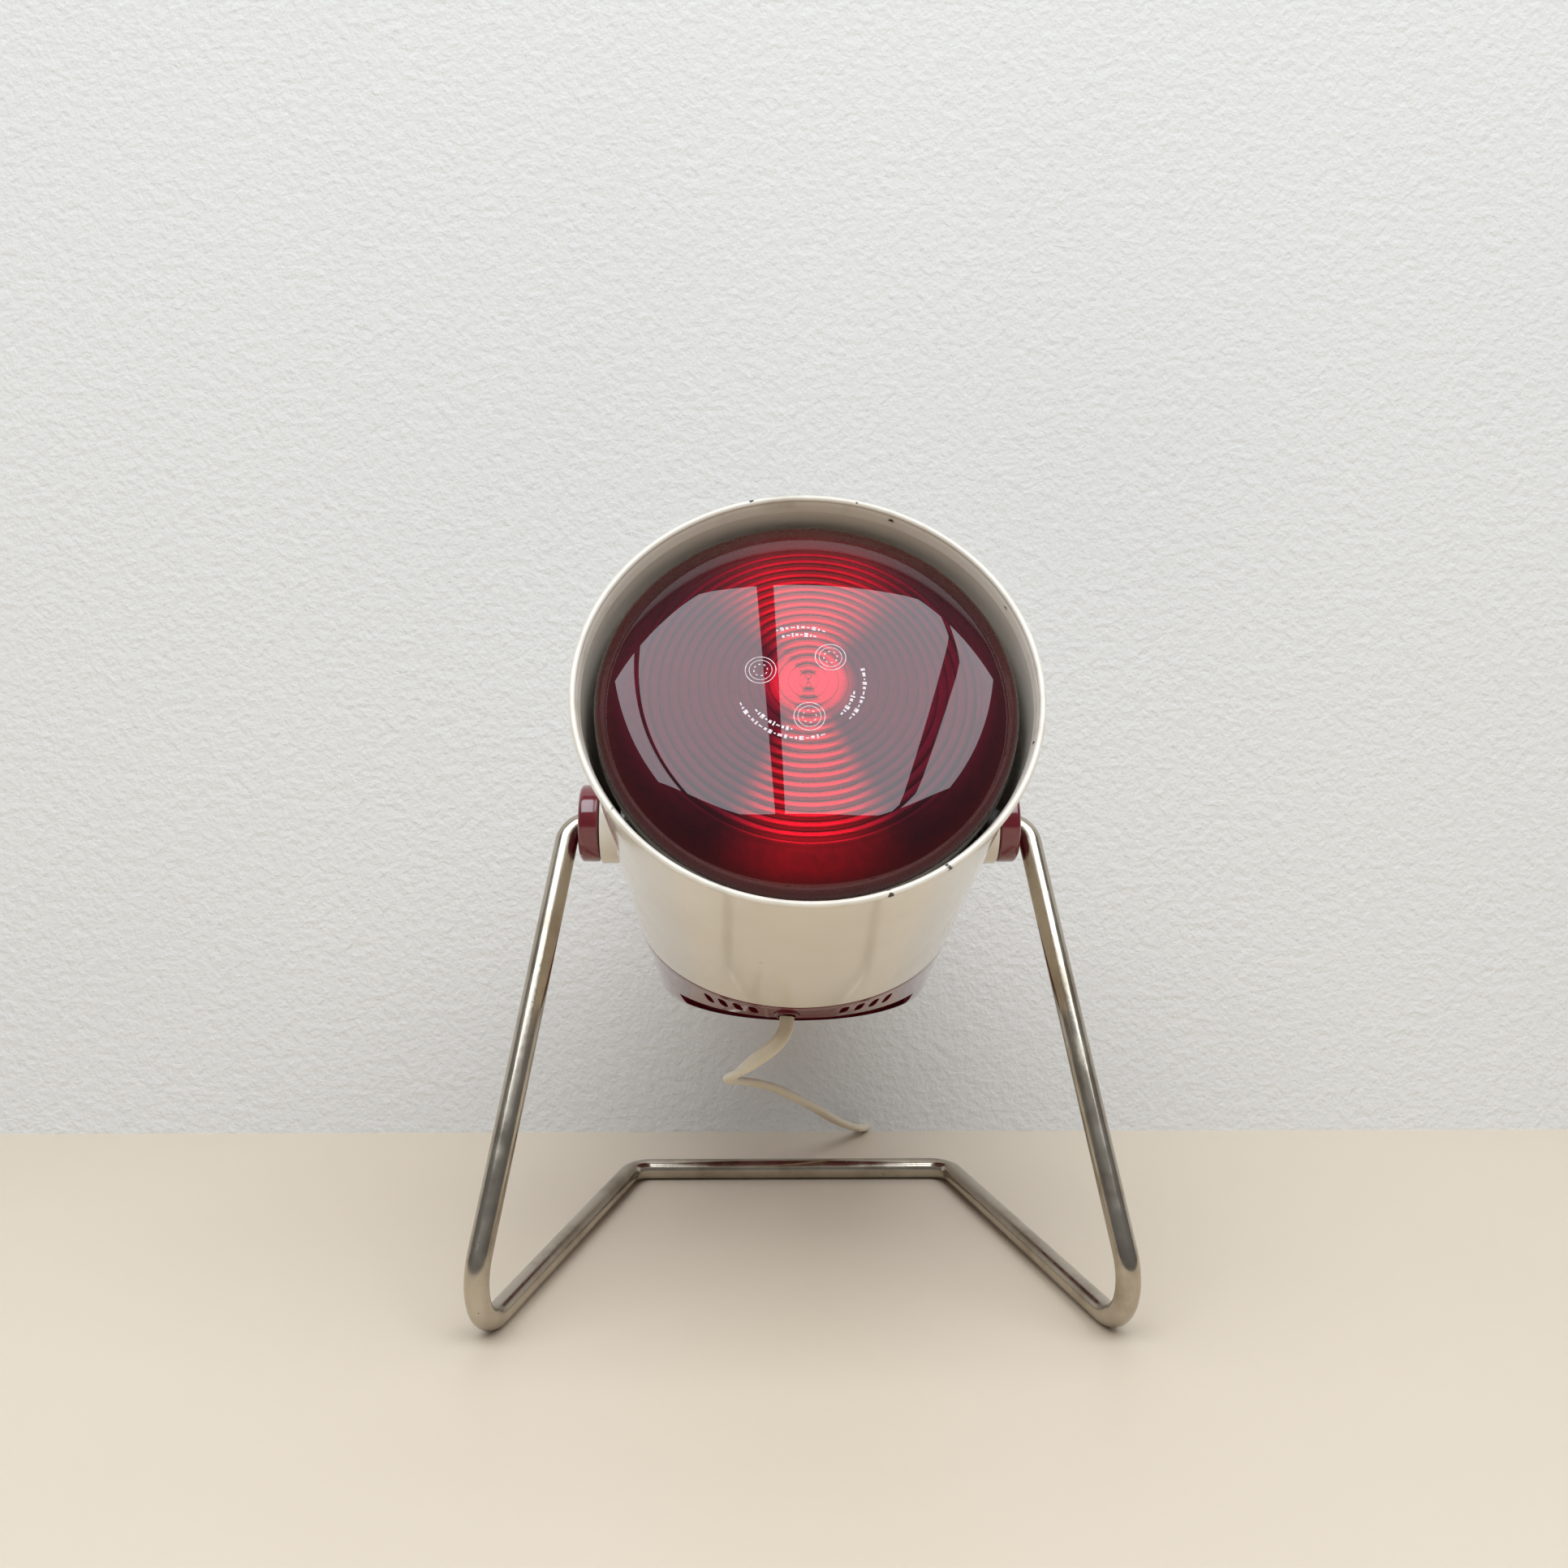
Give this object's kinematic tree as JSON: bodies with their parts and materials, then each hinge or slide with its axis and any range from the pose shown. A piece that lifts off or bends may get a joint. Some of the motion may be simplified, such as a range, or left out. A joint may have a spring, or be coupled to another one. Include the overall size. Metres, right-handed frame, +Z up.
{
  "type": "heat lamp",
  "caption": "Table-top infrared heat lamp: reflector bulb in a tilting round sheet-metal hood with a rear cap, on a stand bent from one rod, with a flat mains lead and plug.",
  "frame": {"origin": "on the table, under the middle of the lamp's own box (without its free cord)", "axes": "+Z up, -Y the way the lens faces, X along the tilt axis"},
  "size_m": [0.2002, 0.3277, 0.2518],
  "materials": {
    "nickel_rod": "polished, aged",
    "cream_enamel": "gloss stove enamel",
    "maroon_plastic": "gloss moulded",
    "zinc_steel": "zinc plated",
    "ruby_glass": "clear red pressed glass",
    "bulb_silver": "aluminised glass",
    "brass": "satin",
    "black_glass": "gloss",
    "tungsten": "wire",
    "porcelain": "glazed",
    "cord_plastic": "aged soft PVC",
    "wire_blue": "PVC",
    "wire_brown": "PVC"
  },
  "bodies": {
    "stand": {"stand_frame": "nickel_rod", "retaining_clip_left": "zinc_steel", "retaining_clip_right": "zinc_steel", "cord_lead": "cord_plastic", "cord_tail": "cord_plastic", "cord_coil": "cord_plastic", "plug_body": "cord_plastic", "plug_pin_left": "nickel_rod", "plug_pin_right": "nickel_rod"},
    "head": {"bulb_contact": "brass", "bulb_filament": "tungsten", "bulb_insulator": "black_glass", "bulb_lead_wire_left": "nickel_rod", "bulb_lead_wire_right": "nickel_rod", "bulb_lens": "ruby_glass", "bulb_reflector": "bulb_silver", "bulb_screw_cap": "zinc_steel", "bulb_skirt": "brass", "cap_screw_left": "zinc_steel", "cap_screw_right": "zinc_steel", "clamp_screw_left": "zinc_steel", "clamp_screw_right": "zinc_steel", "cord_clamp": "maroon_plastic", "cord_grommet": "maroon_plastic", "cord_inner_end": "cord_plastic", "friction_washer_left": "zinc_steel", "friction_washer_right": "zinc_steel", "holder_bracket": "zinc_steel", "holder_screw_left": "zinc_steel", "holder_screw_right": "zinc_steel", "hood_shell": "cream_enamel", "inner_wire_left": "wire_brown", "inner_wire_right": "wire_blue", "lampholder_body": "porcelain", "lampholder_contact": "brass", "lampholder_shell": "brass", "pivot_bush_left": "maroon_plastic", "pivot_bush_right": "maroon_plastic", "pivot_pad_left": "cream_enamel", "pivot_pad_right": "cream_enamel", "rear_cap": "maroon_plastic", "terminal_screw_left": "brass", "terminal_screw_right": "brass"}
  },
  "joints": [
    {"name": "head_tilt", "type": "hinge", "parent": "stand", "child": "head", "pos_m": [0, -0.0052, 0.148], "axis": [1, 0, 0], "range_deg": [-56, 55], "deforming": ["cord_lead"]}
  ]
}
